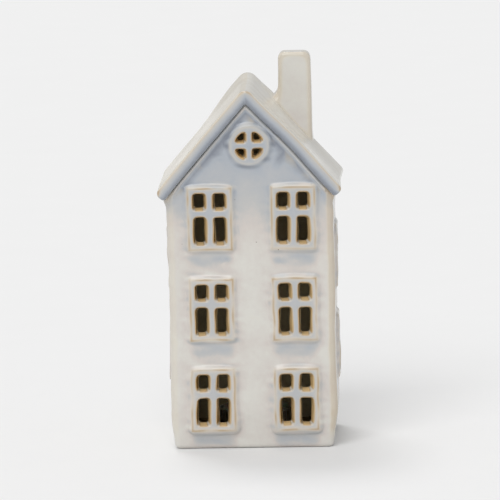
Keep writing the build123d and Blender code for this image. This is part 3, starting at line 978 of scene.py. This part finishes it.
def turned(name, profile, steps, material):
    """Turns a closed profile of radius and height pairs about the tealight's axis."""
    shape = bmesh.new()
    ring = [shape.verts.new((radius, TEALIGHT_Y, height)) for radius, height in profile]
    for here, after in zip(ring, ring[1:] + ring[:1]):
        shape.edges.new((here, after))
    bmesh.ops.spin(
        shape, geom=shape.verts[:] + shape.edges[:], cent=(0, TEALIGHT_Y, 0), axis=(0, 0, 1),
        angle=2 * math.pi, steps=steps, use_merge=True)
    bmesh.ops.remove_doubles(shape, verts=shape.verts, dist=MERGE_DISTANCE)
    bmesh.ops.recalc_face_normals(shape, faces=shape.faces)
    return new_piece(name, shape, material)


def tealight_cup(tealight, material):
    """Fluted aluminium cup with a rolled rim and a raised floor."""
    rim = 0.5 * MILLIMETRE
    sheet = 0.3 * MILLIMETRE
    lift = 0.5 * MILLIMETRE
    centre = 0.1 * MILLIMETRE
    taper = 0.5 * MILLIMETRE
    ledge = 3 * MILLIMETRE
    flutes_start = 3 * MILLIMETRE
    flutes_end = 2 * MILLIMETRE
    top = CUP_HIGH.z - rim
    wall = CUP_HIGH.x - rim
    base = wall - taper
    stand = base - ledge
    roll = [(wall + rim * math.cos(turn), top + rim * math.sin(turn))
            for turn in np.linspace(-0.35 * math.pi, 1.0 * math.pi, 10)]
    outside = [(centre, lift), (stand, lift), (stand + lift, 0.0), (base - lift, 0.0), (base, lift)]
    rise = [(base + (wall - base) * share, lift + (top - lift) * share)
            for share in (0.1, 0.3, 0.5, 0.7, 0.9)]
    inside = [(radius - sheet, height) for radius, height in reversed(rise)]
    floor = [
        (base - sheet, lift + sheet), (base - lift - sheet / 2, sheet), (stand + lift + sheet / 2, sheet),
        (stand + sheet / 2, lift + sheet), (centre, lift + sheet)]
    cup = turned("fluted_cup", outside + rise + roll + inside + floor, 4 * tealight.flutes, material)
    places = places_of(cup.data)
    up = places[:, 2]
    out = places[:, :2] - (0.0, TEALIGHT_Y)
    around = np.arctan2(out[:, 1], out[:, 0])
    side = ease(lift, flutes_start, up) * (1.0 - ease(top - flutes_end, top - rim, up))
    side *= ease(stand + lift, base - lift, np.linalg.norm(out, axis=1))
    fold = 1.0 + tealight.flute_depth * np.cos(tealight.flutes * around) * side / base
    places[:, :2] = out * fold[:, None] + (0.0, TEALIGHT_Y)
    set_places(cup.data, places)
    return cup


def wax_body(material):
    """Wax with a soft top edge and a shallow dish round the wick."""
    bore = 0.8 * MILLIMETRE
    bore_drop = 0.3 * MILLIMETRE
    neck = 1.25 * MILLIMETRE
    neck_height = 3.6 * MILLIMETRE
    disc = 6.35 * MILLIMETRE
    disc_height = 0.4 * MILLIMETRE
    soft = 0.9 * MILLIMETRE
    dish_depth = 0.45 * MILLIMETRE
    sides = 96
    floor = WAX_LOW.z
    top = WAX_HIGH.z
    radius = WAX_HIGH.x
    edge = [(radius - soft + soft * math.cos(turn), top - soft + soft * math.sin(turn))
            for turn in np.linspace(0, math.pi / 2, 7)]
    dish = [(radius * share, top - dish_depth * math.cos(share * math.pi / 2) ** 2)
            for share in (0.8, 0.6, 0.45, 0.3, 0.18, 0.1)]
    hidden = [
        (bore, top - bore_drop), (bore, floor + neck_height), (neck, floor + neck_height),
        (neck, floor + disc_height), (disc, floor + disc_height), (disc, floor)]
    return turned("wax_body", [(radius, floor)] + edge + dish + hidden, sides, material)


def twisted_wick(material):
    """Three plies of cotton twisted together."""
    radius = (WICK_HIGH.x - WICK_LOW.x) / 2
    length = WICK_HIGH.z - WICK_LOW.z
    plies = 3
    furrow = 0.16
    sides = 24
    steps = 60
    twist = Matrix.Rotation(math.radians(14), 3, "Z")
    shape = bmesh.new()
    start = bmesh.ops.create_circle(shape, cap_ends=True, segments=sides, radius=radius)
    for vertex in start["verts"]:
        around = math.atan2(vertex.co.y, vertex.co.x)
        vertex.co *= 1.0 - furrow + furrow * math.cos(plies * around)
    top = list(shape.faces)
    for step in range(steps):
        grown = bmesh.ops.extrude_face_region(shape, geom=top)["geom"]
        if step > 0:
            bmesh.ops.delete(shape, geom=top, context="FACES_ONLY")
        ring = [part for part in grown if isinstance(part, bmesh.types.BMVert)]
        top = [part for part in grown if isinstance(part, bmesh.types.BMFace)]
        bmesh.ops.rotate(shape, verts=ring, cent=(0, 0, 0), matrix=twist)
        bmesh.ops.translate(shape, verts=ring, vec=(0, 0, length / steps))
    bmesh.ops.translate(shape, verts=shape.verts, vec=(0, TEALIGHT_Y, WICK_LOW.z))
    bmesh.ops.recalc_face_normals(shape, faces=shape.faces)
    return new_piece("twisted_wick", shape, material)


# The stage

def soft_lamp(name, toward, strength, width):
    """A distant soft lamp that shines from one direction with an even strength."""
    light = bpy.data.lights.new(name, "SUN")
    light.energy = strength
    light.angle = width
    holder = bpy.data.objects.new(name, light)
    holder.rotation_euler = Vector(toward).to_track_quat("Z", "Y").to_euler()
    bpy.context.scene.collection.objects.link(holder)


def photo_camera(stage):
    """Camera at the photograph's angle."""
    turn, tilt, roll = stage.azimuth, stage.elevation, stage.roll
    forward = Vector((-math.sin(turn) * math.cos(tilt), math.cos(turn) * math.cos(tilt), -math.sin(tilt)))
    level = Vector((math.cos(turn), math.sin(turn), 0.0))
    upright = level.cross(forward)
    right = level * math.cos(roll) - upright * math.sin(roll)
    above = upright * math.cos(roll) + level * math.sin(roll)
    aim = level * stage.aim_across + Vector((0, 0, stage.aim_height))
    camera = bpy.data.cameras.new("camera")
    camera.lens = stage.lens
    holder = bpy.data.objects.new("camera", camera)
    holder.matrix_world = Matrix((right, above, -forward)).transposed().to_4x4()
    holder.location = aim - forward * stage.distance
    bpy.context.scene.collection.objects.link(holder)
    bpy.context.scene.camera = holder


def even_sky(strength):
    """Even white light from all round. The camera itself sees a backdrop of its own strength."""
    world = bpy.data.worlds.new("even_sky")
    world.use_nodes = True
    tree = world.node_tree
    tree.nodes.clear()
    path = add_node(tree, "ShaderNodeLightPath")
    light = add_node(tree, "ShaderNodeBackground", {"Color": rgba(WHITE), "Strength": strength})
    seen = add_node(tree, "ShaderNodeBackground", {"Color": rgba(WHITE), "Strength": BACKDROP_STRENGTH})
    either = add_node(tree, "ShaderNodeMixShader", {
        0: path.outputs["Is Camera Ray"], 1: light.outputs[0], 2: seen.outputs[0]})
    add_node(tree, "ShaderNodeOutputWorld", {"Surface": either.outputs[0]})
    bpy.context.scene.world = world


# Operators

class TEALIGHTHOUSE_OT_glazed_clay(bpy.types.Operator):
    """Make the glazed walls, roof and chimney"""
    bl_idname = "tealight_house.glazed_clay"
    bl_label = "Glazed walls, roof and chimney"

    def execute(self, context):
        clay = context.scene.tealight_house_clay
        material = reactive_glaze(clay, context.scene.tealight_house_glaze)
        for node, make in (("walls", glazed_walls), ("roof", glazed_roof), ("chimney", glazed_chimney)):
            piece = make(clay, material)
            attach(piece, "house")
            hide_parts(node)
        return {"FINISHED"}


class TEALIGHTHOUSE_OT_foot_ring(bpy.types.Operator):
    """Make the unglazed foot ring"""
    bl_idname = "tealight_house.foot_ring"
    bl_label = "Foot ring"

    def execute(self, context):
        clay = context.scene.tealight_house_clay
        piece = foot_ring(clay, bare_stoneware(clay))
        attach(piece, "house")
        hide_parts("foot_ring")
        return {"FINISHED"}


class TEALIGHTHOUSE_OT_cup(bpy.types.Operator):
    """Make the fluted aluminium cup"""
    bl_idname = "tealight_house.cup"
    bl_label = "Tealight cup"

    def execute(self, context):
        tealight = context.scene.tealight_house_tealight
        piece = tealight_cup(tealight, drawn_aluminium(tealight))
        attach(piece, "tealight")
        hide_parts("tealight_cup")
        return {"FINISHED"}


class TEALIGHTHOUSE_OT_candle(bpy.types.Operator):
    """Make the wax and the wick, and finish the wick's foot"""
    bl_idname = "tealight_house.candle"
    bl_label = "Wax and wick"

    def execute(self, context):
        tealight = context.scene.tealight_house_tealight
        wax = wax_body(paraffin_wax(tealight))
        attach(wax, "candle")
        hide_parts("wax")
        wick = twisted_wick(waxed_cotton(tealight))
        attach(wick, "candle")
        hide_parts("wick")
        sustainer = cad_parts["wick_sustainer"]
        sustainer.data.materials.clear()
        sustainer.data.materials.append(tinned_steel(tealight))
        return {"FINISHED"}


class TEALIGHTHOUSE_OT_stage(bpy.types.Operator):
    """Make the floor, the lamps and the camera"""
    bl_idname = "tealight_house.stage"
    bl_label = "Stage"

    def execute(self, context):
        stage = context.scene.tealight_house_stage
        shape = bmesh.new()
        bmesh.ops.create_circle(shape, cap_ends=True, segments=FLOOR_SIDES, radius=FLOOR_RADIUS)
        floor = new_piece("floor", shape, studio_paper(stage))
        soft_lamp("front_lamp", FRONT_LAMP_FROM, stage.front, stage.front_spread)
        soft_lamp("back_lamp", BACK_LAMP_FROM, stage.back, stage.back_spread)
        even_sky(stage.sky)
        photo_camera(stage)
        context.scene.view_settings.view_transform = "Standard"
        return {"FINISHED"}


class TEALIGHTHOUSE_PT_panel(bpy.types.Panel):
    """Lists the pieces of the tealight house and their settings"""
    bl_idname = "TEALIGHTHOUSE_PT_panel"
    bl_label = "Tealight House"
    bl_space_type = "VIEW_3D"
    bl_region_type = "UI"
    bl_category = "Tealight House"

    def draw(self, context):
        layout = self.layout
        for operator in OPERATORS:
            layout.operator(operator.bl_idname)
        for name, settings in SETTINGS.items():
            group = getattr(context.scene, name)
            box = layout.box()
            for field in settings.__annotations__:
                box.prop(group, field)


OPERATORS = (
    TEALIGHTHOUSE_OT_glazed_clay, TEALIGHTHOUSE_OT_foot_ring, TEALIGHTHOUSE_OT_cup, TEALIGHTHOUSE_OT_candle,
    TEALIGHTHOUSE_OT_stage,
)
SETTINGS = {
    "tealight_house_clay": ClaySettings,
    "tealight_house_glaze": GlazeSettings,
    "tealight_house_tealight": TealightSettings,
    "tealight_house_stage": StageSettings,
}
CLASSES = (*SETTINGS.values(), *OPERATORS, TEALIGHTHOUSE_PT_panel)


def register():
    """Registers the classes and hangs the settings on the scene."""
    for kind in CLASSES:
        bpy.utils.register_class(kind)
    for name, settings in SETTINGS.items():
        setattr(bpy.types.Scene, name, PointerProperty(type=settings))


def unregister():
    """Takes the settings and the classes away again."""
    for name in SETTINGS:
        delattr(bpy.types.Scene, name)
    for kind in reversed(CLASSES):
        bpy.utils.unregister_class(kind)


def main():
    """Makes every piece and the stage."""
    register()
    bpy.ops.tealight_house.glazed_clay()
    bpy.ops.tealight_house.foot_ring()
    bpy.ops.tealight_house.cup()
    bpy.ops.tealight_house.candle()
    bpy.ops.tealight_house.stage()


if __name__ == "__main__":
    main()
